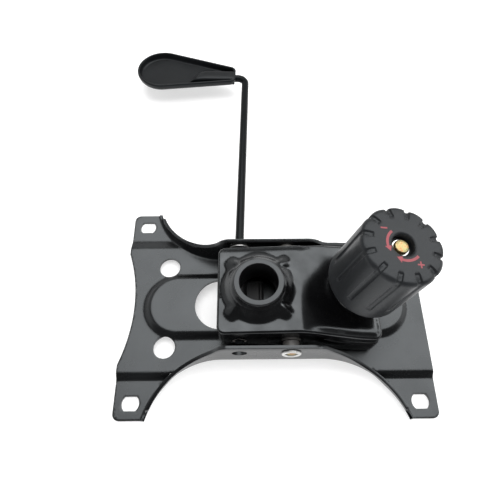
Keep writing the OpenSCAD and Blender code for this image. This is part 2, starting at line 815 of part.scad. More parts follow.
module lever_rod() {
    color("#1b1c1f") {
        difference() {
            union() {
                bar_y(rod_x, rod_z, tip_y, kink_y, rod_r);
                translate([rod_x, kink_y, rod_z]) sphere(rod_r);
            }
            along_y(-sleeve_half - lock_travel, sleeve_half + lock_travel)
                translate([rod_x - rod_r - cut, rod_z + flat_z]) square([2 * rod_r + 2 * cut, rod_r]);
        }
        on_lever() {
            bar_y(0, 0, 0, reach - bend_r, rod_r);
            translate([-bend_r, reach - bend_r, 0])
                rotate_extrude(angle = 90) translate([bend_r, 0]) circle(rod_r);
            translate([-bend_r - tang, reach, 0]) rotate([0, 90, 0]) cylinder(h = tang, r = rod_r);
        }
    }
}

// Hollow paddle with a socket for the rod, open on the side away from the seat
module lever_handle() {
    broad = [-paddle_x, reach + paddle_y];
    neck = [-neck_x, reach + neck_y];
    hull_h = handle_below / hull_steps;
    function hull_in(z) = hull_r - sqrt(hull_r * hull_r - (hull_r - handle_below - z) ^ 2);
    color("#26282b") on_lever() difference() {
        union() {
            difference() {
                for (i = [0 : hull_steps - 1])
                    translate([0, 0, i * hull_h - handle_below])
                        linear_extrude(handle_below + handle_above - i * hull_h)
                            teardrop(paddle_r - hull_in((i + 0.5) * hull_h - handle_below), broad,
                                neck_r - hull_in((i + 0.5) * hull_h - handle_below), neck);
                translate([0, 0, handle_floor - handle_below]) linear_extrude(handle_below + handle_above)
                    teardrop(paddle_r - handle_wall, broad, neck_r - handle_wall, neck);
            }
            intersection() {
                translate([-bend_r - tang - handle_wall, reach, 0]) rotate([0, 90, 0])
                    cylinder(h = tang + handle_wall, r = socket_r);
                translate([-wide, 0, -handle_below]) cube([wide, wide, tall]);
            }
            translate([-bend_r - tang - handle_wall, reach - socket_r, handle_floor / 2 - handle_below])
                cube([tang - bend_r, 2 * socket_r, handle_below - handle_floor / 2]);
        }
        translate([-bend_r - tang - seat_gap, reach, 0]) rotate([0, 90, 0])
            cylinder(h = wide, r = rod_r + seat_gap);
        translate([-neck_face_x, 0, -tall]) cube([tall, wide, 2 * tall]);
    }
}

module lever_washer() {
    color("#c9cbcd") difference() {
        bar_y(rod_x, rod_z, clip_inner, clip_outer, clip_r);
        bar_y(rod_x, rod_z, 0, tall, rod_r + seat_gap);
    }
}

module rod_bush(side) {
    color("#d8d5c8") scale([1, side, 1]) difference() {
        union() {
            bar_y(rod_x, rod_z, wall_in, shell_half, rod_bush_r);
            bar_y(rod_x, rod_z, wall_in - rod_bush_flange_t, wall_in, rod_bush_flange_r);
        }
        bar_y(rod_x, rod_z, 0, tall, rod_r + run_gap);
    }
}

// Sleeve keyed to the flat of the rod, with a tongue that presses the valve pin in the hub
module valve_tongue() {
    color("#6d7073") difference() {
        union() {
            bar_y(rod_x, rod_z, -sleeve_half, sleeve_half, sleeve_r);
            translate([rod_x, -tongue_w / 2, tongue_top - tongue_t])
                cube([tongue_reach, tongue_w, tongue_t]);
            bar_y(rod_x + tongue_reach, tongue_top - tongue_t / 2, -tongue_w / 2, tongue_w / 2, tongue_nose_r);
        }
        intersection() {
            bar_y(rod_x, rod_z, -tall, tall, rod_r + run_gap);
            along_y(-tall, tall) translate([rod_x - tall / 2, rod_z + flat_z + run_gap - tall])
                square([tall, tall]);
        }
    }
}

seat_plate();
stop_pad(right);  // stop_pad_right
stop_pad(left);  // stop_pad_left
housing();
hub_tube();
hub_brace();
pivot_shaft();
pivot_bush(right);  // pivot_bush_right
pivot_bush(left);  // pivot_bush_left
pivot_spacer(right);  // pivot_spacer_right
pivot_spacer(left);  // pivot_spacer_left
tension_bolt();
bolt_end_washer();
spring_cup();
tension_spring();
thrust_washer();
knob();
knob_nut();
lever_rod();
lever_handle();
lever_washer();
rod_bush(right);  // rod_bush_right
rod_bush(left);  // rod_bush_left
valve_tongue();
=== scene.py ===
import json
import math

import bpy
import numpy as np
from mathutils import Matrix, Vector
from mathutils.geometry import delaunay_2d_cdt


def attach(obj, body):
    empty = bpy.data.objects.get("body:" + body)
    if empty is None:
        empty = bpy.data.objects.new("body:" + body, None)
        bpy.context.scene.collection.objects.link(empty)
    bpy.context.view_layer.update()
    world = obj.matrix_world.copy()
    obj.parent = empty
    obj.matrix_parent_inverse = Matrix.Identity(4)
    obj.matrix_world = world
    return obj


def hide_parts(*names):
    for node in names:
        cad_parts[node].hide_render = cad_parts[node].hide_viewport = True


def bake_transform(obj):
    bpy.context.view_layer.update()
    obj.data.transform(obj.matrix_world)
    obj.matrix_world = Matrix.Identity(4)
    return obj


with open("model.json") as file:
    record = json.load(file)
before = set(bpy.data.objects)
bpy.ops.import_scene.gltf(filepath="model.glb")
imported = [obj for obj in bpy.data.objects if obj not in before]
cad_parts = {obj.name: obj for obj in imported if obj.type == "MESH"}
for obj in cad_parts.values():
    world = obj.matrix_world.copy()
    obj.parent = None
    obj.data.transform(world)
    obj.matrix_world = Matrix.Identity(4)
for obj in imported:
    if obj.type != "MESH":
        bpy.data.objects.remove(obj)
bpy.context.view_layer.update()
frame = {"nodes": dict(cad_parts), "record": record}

MM = 0.001
scene = bpy.context.scene
scene.view_settings.view_transform = "Standard"


# Helpers for meshes. Lengths are in millimetres, in the part's own frame, but for the lamps.

def smooth(x):
    x = np.clip(x, 0.0, 1.0)
    return x * x * (3 - 2 * x)


def make_mesh(name, verts, faces, place=None):
    mesh = bpy.data.meshes.new(name)
    verts = np.asarray(verts, float) * MM
    mesh.from_pydata([tuple(v) for v in verts], [], [tuple(int(i) for i in f) for f in faces])
    mesh.validate()
    if place is not None:
        mesh.transform(place)
    obj = bpy.data.objects.new(name, mesh)
    scene.collection.objects.link(obj)
    return obj


def shade(obj, angle=35):
    obj.data.shade_smooth()
    obj.data.set_sharp_from_angle(angle=math.radians(angle))


def show(obj, body, paint, slot, *nodes, angle=35):
    shade(obj, angle)
    obj.data.materials.clear()
    obj.data.materials.append(paint)
    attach(obj, body)
    if nodes:
        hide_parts(*nodes)
    return obj


def quads(rows, columns, closed):
    faces = []
    for i in range(rows - 1):
        for k in range(columns if closed else columns - 1):
            a = i * columns + k
            b = i * columns + (k + 1) % columns
            faces.append((a, b, b + columns, a + columns))
    return faces


def caps(rows, columns):
    """Flat ends of a closed strip."""
    return [tuple(reversed(range(columns))), tuple(range((rows - 1) * columns, rows * columns))]


def seam(rows, columns):
    """Quads from the last row of a closed strip back to the first."""
    last = (rows - 1) * columns
    return [(last + k, last + (k + 1) % columns, (k + 1) % columns, k) for k in range(columns)]


def along(x, table):
    """Straight lines between the points of a table."""
    return np.interp(x, [p[0] for p in table], [p[1] for p in table])


def inside(points, loop):
    x, y = points[:, 0], points[:, 1]
    hit = np.zeros(len(points), bool)
    a = np.asarray(loop, float)
    b = np.roll(a, -1, axis=0)
    for (x0, y0), (x1, y1) in zip(a, b):
        if y0 != y1:
            across = (y0 > y) != (y1 > y)
            hit ^= across & (x < (x1 - x0) * (y - y0) / (y1 - y0) + x0)
    return hit


def fill(outline, holes, step):
    """Triangles of a flat region with holes, on an even grid of inner points, all facing up."""
    loops = [np.asarray(outline, float)] + [np.asarray(h, float) for h in holes]
    low, high = loops[0].min(0), loops[0].max(0)
    grid = []
    for j, y in enumerate(np.arange(low[1], high[1], step * 0.866)):
        for x in np.arange(low[0] + (j % 2) * step / 2, high[0], step):
            grid.append((x, y))
    grid = np.array(grid)
    keep = inside(grid, loops[0])
    edge_points = np.concatenate(loops)
    for hole in loops[1:]:
        keep &= ~inside(grid, hole)
    grid = grid[keep]
    near = np.array([np.min(((edge_points - p) ** 2).sum(1)) for p in grid])
    grid = grid[near > (step * 0.55) ** 2]
    points = [Vector(p) for p in edge_points] + [Vector(p) for p in grid]
    edges = []
    start = 0
    for loop in loops:
        n = len(loop)
        edges += [(start + i, start + (i + 1) % n) for i in range(n)]
        start += n
    out, _, tris, _, _, _ = delaunay_2d_cdt(points, edges, [], 0, 1e-5)
    out = np.array([(p.x, p.y) for p in out])
    tris = np.array(tris)
    middle = out[tris].mean(1)
    good = inside(middle, loops[0])
    for hole in loops[1:]:
        good &= ~inside(middle, hole)
    tris = tris[good]
    area = np.cross(out[tris[:, 1]] - out[tris[:, 0]], out[tris[:, 2]] - out[tris[:, 0]])
    return out, np.where((area < 0)[:, None], tris[:, ::-1], tris)


def weld(verts, faces, gap=0.002):
    """Joins vertices that lie on one place."""
    verts = np.asarray(verts, float)
    keys = {}
    index = np.zeros(len(verts), int)
    kept = []
    for i, v in enumerate(verts):
        key = tuple(np.round(v / gap).astype(int))
        if key not in keys:
            keys[key] = len(kept)
            kept.append(v)
        index[i] = keys[key]
    out = []
    for f in faces:
        g = [index[i] for i in f]
        g = [v for n, v in enumerate(g) if v != g[n - 1]]
        if len(set(g)) > 2:
            out.append(tuple(g))
    return np.array(kept), out


def thicken(verts, faces, depth):
    """A closed sheet: the given face, its copy pushed back along the normals, and a rim."""
    mesh = bpy.data.meshes.new("sheet")
    mesh.from_pydata([tuple(v) for v in verts], [], [tuple(int(i) for i in f) for f in faces])
    mesh.update()
    normals = np.zeros((len(mesh.vertices), 3))
    for p in mesh.polygons:
        for i in p.vertices:
            normals[i] += np.array(p.normal) * p.area
    bpy.data.meshes.remove(mesh)
    normals /= np.maximum(np.linalg.norm(normals, axis=1), 1e-9)[:, None]
    back = np.asarray(verts) - normals * depth
    n = len(verts)
    used = {}
    for f in faces:
        for a, b in zip(f, tuple(f[1:]) + (f[0],)):
            used[(a, b)] = used.get((a, b), 0) + 1
    rim = [(b, a, a + n, b + n) for (a, b) in used if (b, a) not in used]
    back_faces = [tuple(i + n for i in reversed(f)) for f in faces]
    return np.concatenate([verts, back]), list(faces) + back_faces + rim


def bar(start, end, radius, sides=64):
    """A round cutter between two points."""
    start, end = Vector(start), Vector(end)
    turn = (end - start).to_track_quat("Z", "Y").to_matrix()
    verts = []
    for z in (0, (end - start).length):
        for k in range(sides):
            a = 2 * math.pi * k / sides
            verts.append(start + turn @ Vector((radius * math.cos(a), radius * math.sin(a), z)))
    return make_mesh("cutter", verts, quads(2, sides, True) + caps(2, sides))


def carve(obj, cutters, edge=0.7):
    """Rounds the sharp edges and cuts the holes."""
    m = obj.modifiers.new("edges", "BEVEL")
    m.width = edge * MM
    m.segments = 2
    m.limit_method = "ANGLE"
    m.angle_limit = math.radians(60)
    for cutter in cutters:
        m = obj.modifiers.new("cut", "BOOLEAN")
        m.operation = "DIFFERENCE"
        m.solver = "EXACT"
        m.object = cutter
    graph = bpy.context.evaluated_depsgraph_get()
    result = bpy.data.meshes.new_from_object(obj.evaluated_get(graph))
    obj.modifiers.clear()
    old = obj.data
    obj.data = result
    bpy.data.meshes.remove(old)
    for cutter in cutters:
        data = cutter.data
        bpy.data.objects.remove(cutter)
        bpy.data.meshes.remove(data)


def arc(cx, cy, r, a0, a1, n):
    angles = [a0 + (a1 - a0) * k / n for k in range(n)]
    return [(cx + r * math.cos(a), cy + r * math.sin(a)) for a in angles]


def ring(cx, cy, r, n=64):
    return arc(cx, cy, r, 0, 2 * math.pi, n)


def long_ring(x0, x1, y, r, n=24):
    half = math.pi / 2
    front = arc(x1, y, r, -half, half, n) + [(x1, y + r)]
    return front + arc(x0, y, r, half, 3 * half, n) + [(x0, y - r)]


def slot_ring(cx, cy, r, half_y, n=16):
    """A round hole with two flats."""
    a = math.asin(half_y / r)
    right = [(r * math.cos(t), r * math.sin(t)) for t in np.linspace(-a, a, n)]
    return [(cx + x, cy + y) for x, y in right] + [(cx - x, cy - y) for x, y in right]


def tube(path, radius, sides=16):
    """A round tube along a path, closed at both ends."""
    path = [Vector(p) for p in path]
    verts = []
    side = None
    for i, p in enumerate(path):
        t = (path[min(i + 1, len(path) - 1)] - path[max(i - 1, 0)]).normalized()
        if side is None:
            side = t.orthogonal().normalized()
        side = (side - t * side.dot(t)).normalized()
        up = t.cross(side)
        for k in range(sides):
            a = 2 * math.pi * k / sides
            verts.append(p + radius * (math.cos(a) * side + math.sin(a) * up))
    return verts, quads(len(path), sides, True) + caps(len(path), sides)


# Materials. The clouds' values lie mostly between the two ends of CLOUD_RANGE.

CLOUD_RANGE = (0.3, 0.7)


def material(name, colour, rough, metallic=0.0, vary=0.15, grain=600.0, bump=0.02, cloud=40.0,
             rough_vary=0.08, tint=(1.0, 1.0, 1.0), mirror=0.5, mottle=0.0):
    """Cloudy colour, roughness and gloss with a fine grain."""
    m = bpy.data.materials.new(name)
    m.use_nodes = True
    nodes, links = m.node_tree.nodes, m.node_tree.links
    shader = nodes["Principled BSDF"]
    shader.inputs["Metallic"].default_value = metallic
    shader.inputs["Specular Tint"].default_value = tint + (1,)
    shader.inputs["Specular IOR Level"].default_value = mirror
    where = nodes.new("ShaderNodeTexCoord")
    clouds = nodes.new("ShaderNodeTexNoise")
    clouds.inputs["Scale"].default_value = cloud
    clouds.inputs["Detail"].default_value = 5.0
    links.new(where.outputs["Object"], clouds.inputs["Vector"])
    ramp = nodes.new("ShaderNodeValToRGB")
    dark, light = ramp.color_ramp.elements
    dark.position, light.position = CLOUD_RANGE
    dark.color = tuple(c * (1 - vary) for c in colour) + (1,)
    light.color = tuple(min(1, c * (1 + vary)) for c in colour) + (1,)
    links.new(clouds.outputs["Fac"], ramp.inputs["Fac"])
    links.new(ramp.outputs["Color"], shader.inputs["Base Color"])
    spread = nodes.new("ShaderNodeMapRange")
    spread.inputs["To Min"].default_value = max(0.02, rough - rough_vary)
    spread.inputs["To Max"].default_value = min(1.0, rough + rough_vary)
    links.new(clouds.outputs["Fac"], spread.inputs["Value"])
    links.new(spread.outputs["Result"], shader.inputs["Roughness"])
    if mottle:
        gloss = nodes.new("ShaderNodeMapRange")
        gloss.inputs["From Min"].default_value = CLOUD_RANGE[0]
        gloss.inputs["From Max"].default_value = CLOUD_RANGE[1]
        gloss.inputs["To Min"].default_value = mirror * (1 - mottle)
        gloss.inputs["To Max"].default_value = mirror * (1 + mottle)
        links.new(clouds.outputs["Fac"], gloss.inputs["Value"])
        links.new(gloss.outputs["Result"], shader.inputs["Specular IOR Level"])
    fine = nodes.new("ShaderNodeTexNoise")
    fine.inputs["Scale"].default_value = grain
    fine.inputs["Detail"].default_value = 3.0
    links.new(where.outputs["Object"], fine.inputs["Vector"])
    relief = nodes.new("ShaderNodeBump")
    relief.inputs["Strength"].default_value = bump
    relief.inputs["Distance"].default_value = 0.0005
    links.new(fine.outputs["Fac"], relief.inputs["Height"])
    links.new(relief.outputs["Normal"], shader.inputs["Normal"])
    return m


COOL = (0.92, 0.97, 1.0)
seat_paint = material("seat_paint", (0.003, 0.0031, 0.0034), 0.28, grain=900, bump=0.06, tint=COOL,
                      mottle=0.12)
housing_paint = material("housing_paint", (0.002, 0.002, 0.0022), 0.2, grain=500, bump=0.03,
                         rough_vary=0.03, tint=COOL, cloud=70.0, mirror=0.47, mottle=0.22)
hub_paint = material("hub_paint", (0.004, 0.004, 0.0043), 0.33, grain=800, bump=0.1, tint=COOL)
zinc = material("zinc", (0.54, 0.54, 0.53), 0.32, metallic=0.8, grain=900, bump=0.05)
yellow_zinc = material("yellow_zinc", (0.4, 0.33, 0.16), 0.45, metallic=1.0, grain=900, bump=0.08,
                       cloud=420.0)
stain = yellow_zinc.node_tree.nodes["Color Ramp"].color_ramp.elements
stain[0].color = (0.3, 0.07, 0.03, 1)
stain[1].color = (0.2, 0.22, 0.11, 1)
stain.new(0.5).color = (0.34, 0.27, 0.13, 1)
spring_steel = material("spring_steel", (0.012, 0.012, 0.0125), 0.45, metallic=0.3, mirror=0.25)
nylon = material("nylon", (0.07, 0.066, 0.062), 0.4)
knob_plastic = material("knob_plastic", (0.0105, 0.0112, 0.0122), 0.38, grain=1500, bump=0.2, tint=COOL,
                        mirror=0.22)
handle_plastic = material("handle_plastic", (0.0045, 0.005, 0.0056), 0.38, grain=1500, bump=0.2, tint=COOL,
                          mirror=0.19)
rod_paint = material("rod_paint", (0.0034, 0.004, 0.0044), 0.3, grain=700, bump=0.05, tint=COOL, mirror=0.1)
rubber = material("rubber", (0.015, 0.015, 0.015), 0.75, grain=700, bump=0.2)
red_print = material("red_print", (0.22, 0.02, 0.03), 0.5, grain=1500, bump=0.05)

paints = {
    "seat_paint": seat_paint, "housing_paint": housing_paint, "hub_paint": hub_paint, "zinc": zinc,
    "yellow_zinc": yellow_zinc, "spring_steel": spring_steel, "nylon": nylon, "knob_plastic": knob_plastic,
    "handle_plastic": handle_plastic, "rod_paint": rod_paint, "rubber": rubber,
}
for entry in frame["record"]["subparts"]:
    node = frame["nodes"][entry["node"]]
    node.data.materials.clear()
    node.data.materials.append(paints[entry["material_slot"]])


# Seat plate: one pressed sheet with soft steps, a long bead and side flanges

SHEET = 2.5
EAR_STEP = 3.5
END, HALF = 120.3, 87.0
CORNER = 5.0
REAR_HOLLOW, REAR_HOLLOW_HALF = 8.5, 47.0
FLANGE = 44.0
REAR_X, REAR_R = -40.0, 58.0
FRONT_X, FRONT_R = 35.5, 66.0
BEND = 1.5
PIVOT_X, PIVOT_Z = 11.3, 27.7
ROD_X, ROD_Z = -26.4, 26.0
BOLT_X = 60.2
PAST_WALL = 60.0
BEAD_HALF, BEAD_RUN, BEAD_RISE = 26.9, 3.6, 3.5
BEAD_REAR, BEAD_FRONT = -103.0, 108.0
HOLE_X, HOLE_Y, HOLE_R = -85.4, 34.0, 8.5
SLOT_X, SLOT_Y, SLOT_R, SLOT_HALF = 108.0, 75.0, 6.75, 5.25
OPENING_REAR, OPENING_FRONT, OPENING_R = -62.6, -18.0, 20.7

# Heights of the flange's edge, and how far its wall leans out, both along x
LIP = [(-130, 7.5), (-96, 8.5), (-90, 10.5), (-84, 12.5), (-78, 14.5), (-72, 16.5), (-66, 18.7), (-60, 21),
       (-54, 24), (-48, 27.8), (-42, 33.5), (-40, 38), (34.5, 38), (38.3, 32.3), (45.5, 28), (51, 25.5),
       (57, 21.5), (63, 17), (70, 13), (80, 10), (93, 8), (130, 7)]
FLARE = [(-130, 1.5), (-84, 1.5), (-66, 1.2), (-48, 0.5), (-40, 0), (36, 0), (52, 1.2), (60, 1.2), (80, 0.5),
         (130, 0.5)]

# The far flange's edge falls to the inside, in full above FAR_EDGE_LOW + FAR_EDGE_RUN
FAR_EDGE_FALL, FAR_EDGE_LOW, FAR_EDGE_RUN = 1.1, 12.0, 8.0


def slope(x, run, soft):
    """A straight step from 0 to 1 over the length run, with softened ends."""
    return sum(np.clip((x + shift) / run, 0, 1) for shift in np.linspace(-soft, soft, 7)) / 7


def plate_top(x, y):
    """Height of the plate's upper face."""
    x, y = np.asarray(x, float), np.asarray(y, float)
    near_step = slope(57.3 + y, 3.4, 0.4)
    far_step = slope(61.0 - y, 8.6, 1.2)
    z = SHEET + EAR_STEP * np.where(y < 0, near_step, far_step)
    middle = np.clip(x, BEAD_REAR + BEAD_HALF, BEAD_FRONT - BEAD_HALF)
    d = np.hypot(x - middle, y)
    return z + BEAD_RISE * slope(BEAD_HALF - d, BEAD_RUN, 1.4)


def bay_row(off):
    """The right bay's edge moved inwards by off, from the rear ear to the front ear."""
    cy, r = FLANGE + REAR_R, REAR_R + off
    row = arc(REAR_X, cy, r, math.pi + math.asin((cy - HALF) / r), 1.5 * math.pi, 48)
    row += [(REAR_X + (FRONT_X - REAR_X) * k / 32, FLANGE - off) for k in range(32)]
    cy, r = FLANGE + FRONT_R, FRONT_R + off
    end = 2 * math.pi - math.asin((cy - HALF) / r)
    row += arc(FRONT_X, cy, r, 1.5 * math.pi, end, 48)
    return row + [(FRONT_X + r * math.cos(end), cy + r * math.sin(end))]


def flange_strip():
    """Inner face of the far flange, from the bend at its foot to its edge."""
    rows = []
    outer = np.array(bay_row(0))
    top = along(outer[:, 0], LIP)
    top = np.convolve(np.pad(top, 2, mode="edge"), np.ones(5) / 5, mode="valid")
    base = plate_top(*np.array(bay_row(SHEET + BEND)).T)
    for a in np.linspace(0, math.pi / 2, 7):
        row = np.array(bay_row(SHEET + BEND * (1 - math.sin(a))))
        rows.append(np.column_stack([row, base + BEND * (1 - math.cos(a))]))
    low = rows[-1][:, 2]
    flat = rows[-1][:, :2]
    # The wall stops short of the ear's end
    short = np.clip((82.5 - outer[:, 1]) / 1.5, 0.02, 1)
    top = low + np.maximum(top - low, 0.6) * short
    lean = along(outer[:, 0], FLARE)[:, None]
    away = np.array(bay_row(SHEET - 1)) - flat
    for k in range(1, 6):
        rows.append(np.column_stack([flat + away * lean * k / 5, low + (top - low) * k / 5]))
    return np.concatenate(rows), quads(len(rows), len(outer), False)


def cross_bar(x, z, radius):
    """A cutter across the whole part."""
    return bar((x, -PAST_WALL, z), (x, PAST_WALL, z), radius)


def seat_plate():
    right = bay_row(SHEET + BEND)
    left = [(x, -y) for x, y in reversed(right)]
    c, half = CORNER, REAR_HOLLOW_HALF
    big = (half ** 2 + REAR_HOLLOW ** 2) / (2 * REAR_HOLLOW)
    mid = -END + REAR_HOLLOW - big
    swing = math.asin(half / big)
    front = arc(END - c, HALF - c, c, math.pi / 2, 0, 10) + [(END, HALF - c)]
    front += [(END, y) for y in np.linspace(HALF - c, c - HALF, 60)[1:-1]]
    front += arc(END - c, c - HALF, c, 0, -math.pi / 2, 10) + [(END - c, -HALF)]
    rear = arc(c - END, c - HALF, c, 1.5 * math.pi, math.pi, 10) + [(-END, c - HALF)]
    rear += [(-END, y) for y in np.linspace(c - HALF, -half, 12)[1:-1]]
    rear += [(mid + big * math.cos(a), big * math.sin(a)) for a in np.linspace(-swing, swing, 48)]
    rear += [(-END, y) for y in np.linspace(half, HALF - c, 12)[1:-1]]
    rear += arc(c - END, HALF - c, c, math.pi, math.pi / 2, 10) + [(c - END, HALF)]
    outline = right + front + left + rear
    holes = [ring(HOLE_X, y, HOLE_R) for y in (-HOLE_Y, HOLE_Y)]
    holes += [slot_ring(sx * SLOT_X, sy * SLOT_Y, SLOT_R, SLOT_HALF) for sx in (-1, 1) for sy in (-1, 1)]
    holes.append(long_ring(OPENING_REAR + OPENING_R, OPENING_FRONT - OPENING_R, 0, OPENING_R, 48))
    holes.append(long_ring(53.1, 59.4, 0, 4.6, 16))
    flat, tris = fill(outline, holes, 1.8)
    verts = np.column_stack([flat, plate_top(flat[:, 0], flat[:, 1])])
    strip, strip_faces = flange_strip()
    other = strip * np.array([1, -1, 1])
    n, m = len(verts), len(strip)
    faces = [tuple(t) for t in tris]
    faces += [tuple(i + n for i in f) for f in strip_faces]
    faces += [tuple(i + n + m for i in reversed(f)) for f in strip_faces]
    verts, faces = weld(np.concatenate([verts, strip, other]), faces)
    front_count = len(verts)
    verts, faces = thicken(verts, faces, SHEET)
    for p in strip[-len(right):]:
        nearest = np.argmin(np.linalg.norm(verts[:front_count] - p, axis=1))
        verts[nearest, 2] -= FAR_EDGE_FALL * np.clip((p[2] - FAR_EDGE_LOW) / FAR_EDGE_RUN, 0, 1)
    obj = make_mesh("seat_plate_sheet", verts, faces)
    cutters = [cross_bar(PIVOT_X, PIVOT_Z, 5.0), bar((ROD_X, -PAST_WALL, ROD_Z), (ROD_X, -20, ROD_Z), 5.6)]
    for share in np.linspace(0, 1, 7):
        x, z = ROD_X + 1.18 * share, ROD_Z - 7.8 * share
        cutters.append(bar((x, 20, z), (x, PAST_WALL, z), 4.2))
    carve(obj, cutters)
    show(obj, "seat", seat_paint, "seat_paint", "seat_plate", angle=50)


# Housing: one pressed box with a boss and four gussets round the hub

HUB_X, HUB_SEAT = -12.0, 18.45
BOSS_TOP = 53.0
SHELL_REAR, SHELL_FRONT, SHELL_HALF, SHELL_CORNER = -42.5, 78.0, 34.7, 6.0
LEDGE_STEP = 0.6

# Heights along x: the deck's middle, the walls' lower edge and the ledge on the walls
DECK = [(-60, 42), (-42.5, 43), (17.5, 46.6), (78, 31.5), (90, 28.5)]
SKIRT = [(-60, 22), (-42.5, 21.5), (23, 8.3), (29, 8.3), (73, 8), (78, 18), (90, 20)]
LEDGE = [(20, 40), (33, 34), (45, 27), (78, 21.5), (90, 20)]
ROUND = 2.0


def deck_z(x):
    """The deck's profile with softened bends."""
    total = 0
    for shift in np.linspace(-2, 2, 9):
        total = total + along(np.asarray(x) + shift, DECK)
    return total / 9


def widening(x):
    """The housing grows wider towards the front."""
    return 1 + 0.055 * smooth((x - 20) / 50)


def housing_top(x, y):
    """Height of the deck with boss, gussets and the hollow spring face."""
    x, y = np.asarray(x, float), np.asarray(y, float)
    z = deck_z(x)
    r = np.hypot(x - HUB_X, y)
    boss = (BOSS_TOP - z) * slope(26.2 - r, 7.0, 2.4)
    off = (np.arctan2(y, x - HUB_X) / (math.pi / 2) - 0.5) % 1
    off = np.minimum(off, 1 - off) * math.pi / 2
    rib = 5.0 * smooth((35.0 - r) / 13.0) * smooth((7.4 - np.sin(off) * r) / 6.9)
    side = np.abs(y) / widening(x)
    far_over = np.maximum(side - 26.0, 0) ** 2 * 0.032
    near_over = np.maximum(side - 27.0, 0) ** 2 * 0.06
    over = np.where(y > 0, far_over, near_over)
    hollow = y * y / np.where(y > 0, 230.0, 480.0) - over - 1.2
    lip = 0.9 * smooth((x - 62.0) / 12.0) - 0.06 * np.maximum(x - 73.0, 0) ** 2
    face = smooth((x - 17.0) / 22.0)
    level = 1 - smooth((24.0 - np.hypot(x - BOLT_X, y)) / 6.0)
    crown = -0.027 * np.maximum(y - 26.0, 0) ** 2 * (1 - face)
    return z + np.maximum(boss, rib) + crown + (hollow + lip) * face * level


def shell_outline(inset):
    x0, x1 = SHELL_REAR + inset, SHELL_FRONT - inset
    half, c = SHELL_HALF - inset, SHELL_CORNER - inset
    loop = arc(x1 - c, half - c, c, 0, math.pi / 2, 10)
    loop += [(x, half) for x in np.linspace(x1 - c, x0 + c, 48)[:-1]]
    loop += arc(x0 + c, half - c, c, math.pi / 2, math.pi, 10)
    loop += [(x0, y) for y in np.linspace(half - c, c - half, 28)[:-1]]
    loop += arc(x0 + c, c - half, c, math.pi, 1.5 * math.pi, 10)
    loop += [(x, -half) for x in np.linspace(x0 + c, x1 - c, 48)[:-1]]
    loop += arc(x1 - c, c - half, c, 1.5 * math.pi, 2 * math.pi, 10)
    loop += [(x1, y) for y in np.linspace(c - half, half - c, 28)[:-1]]
    loop = np.array(loop)
    loop[:, 1] *= widening(loop[:, 0])
    return loop


def housing():
    rows = []
    deck_edge = shell_outline(ROUND)
    base = housing_top(deck_edge[:, 0], deck_edge[:, 1])
    for a in np.linspace(0, math.pi / 2, 8):
        flat = shell_outline(ROUND * (1 - math.sin(a)))
        rows.append(np.column_stack([flat, base - ROUND * (1 - math.cos(a))]))
    flat, high = rows[-1][:, :2], rows[-1][:, 2]
    low = along(flat[:, 0], SKIRT)
    ledge = np.clip(along(flat[:, 0], LEDGE), low + 1.5, high - 1.5)
    out = 1.1 * np.sign(flat[:, 1]) * smooth((flat[:, 0] - 28) / 12)
    step = np.column_stack([np.zeros(len(flat)), out])
    step[np.abs(flat[:, 1]) < 30] = 0
    for k in (1, 2, 3):
        rows.append(np.column_stack([flat, high + (ledge - high) * k / 3]))
    ledge = ledge - LEDGE_STEP
    for k in (0, 1, 2, 3):
        rows.append(np.column_stack([flat + step, ledge + (low - ledge) * k / 3]))
    strip = np.concatenate(rows)
    strip_faces = [tuple(reversed(f)) for f in quads(len(rows), len(flat), True)]
    points, tris = fill(deck_edge, [ring(HUB_X, 0, HUB_SEAT, 96), ring(BOLT_X, 0, 4.7, 48)], 1.8)
    verts = np.column_stack([points, housing_top(points[:, 0], points[:, 1])])
    n = len(verts)
    faces = [tuple(t) for t in tris] + [tuple(i + n for i in f) for f in strip_faces]
    verts, faces = weld(np.concatenate([verts, strip]), faces)
    verts, faces = thicken(verts, faces, SHEET)
    obj = make_mesh("housing_press", verts, faces)
    carve(obj, [cross_bar(PIVOT_X, PIVOT_Z, 6.6), cross_bar(ROD_X, ROD_Z, 5.2)])
    show(obj, "base", housing_paint, "housing_paint", "housing", angle=50)


# Places of the tilted groups

LEAN = math.radians(11)
ROD_SWING, ROD_DIP = math.radians(-1.64), math.radians(-2.86)
on_bolt = Matrix.Translation(Vector((BOLT_X, 0, 35.9072)) * MM) @ Matrix.Rotation(LEAN, 4, "Y")
on_lever = (Matrix.Translation(Vector((ROD_X, 52, ROD_Z)) * MM) @ Matrix.Rotation(ROD_SWING, 4, "Z")
            @ Matrix.Rotation(ROD_DIP, 4, "X"))


# Knob: a turned cup with grip grooves that open into notches at the face

KNOB_FOOT, KNOB_FACE = 21.0, 77.0
KNOB_MEAN, GROOVES = 26.5, 12


def knob_side(s):
    """Outer radius at the height s: a slight taper."""
    return 28.2 - (s - KNOB_FOOT) * 0.9 / (KNOB_FACE - KNOB_FOOT)


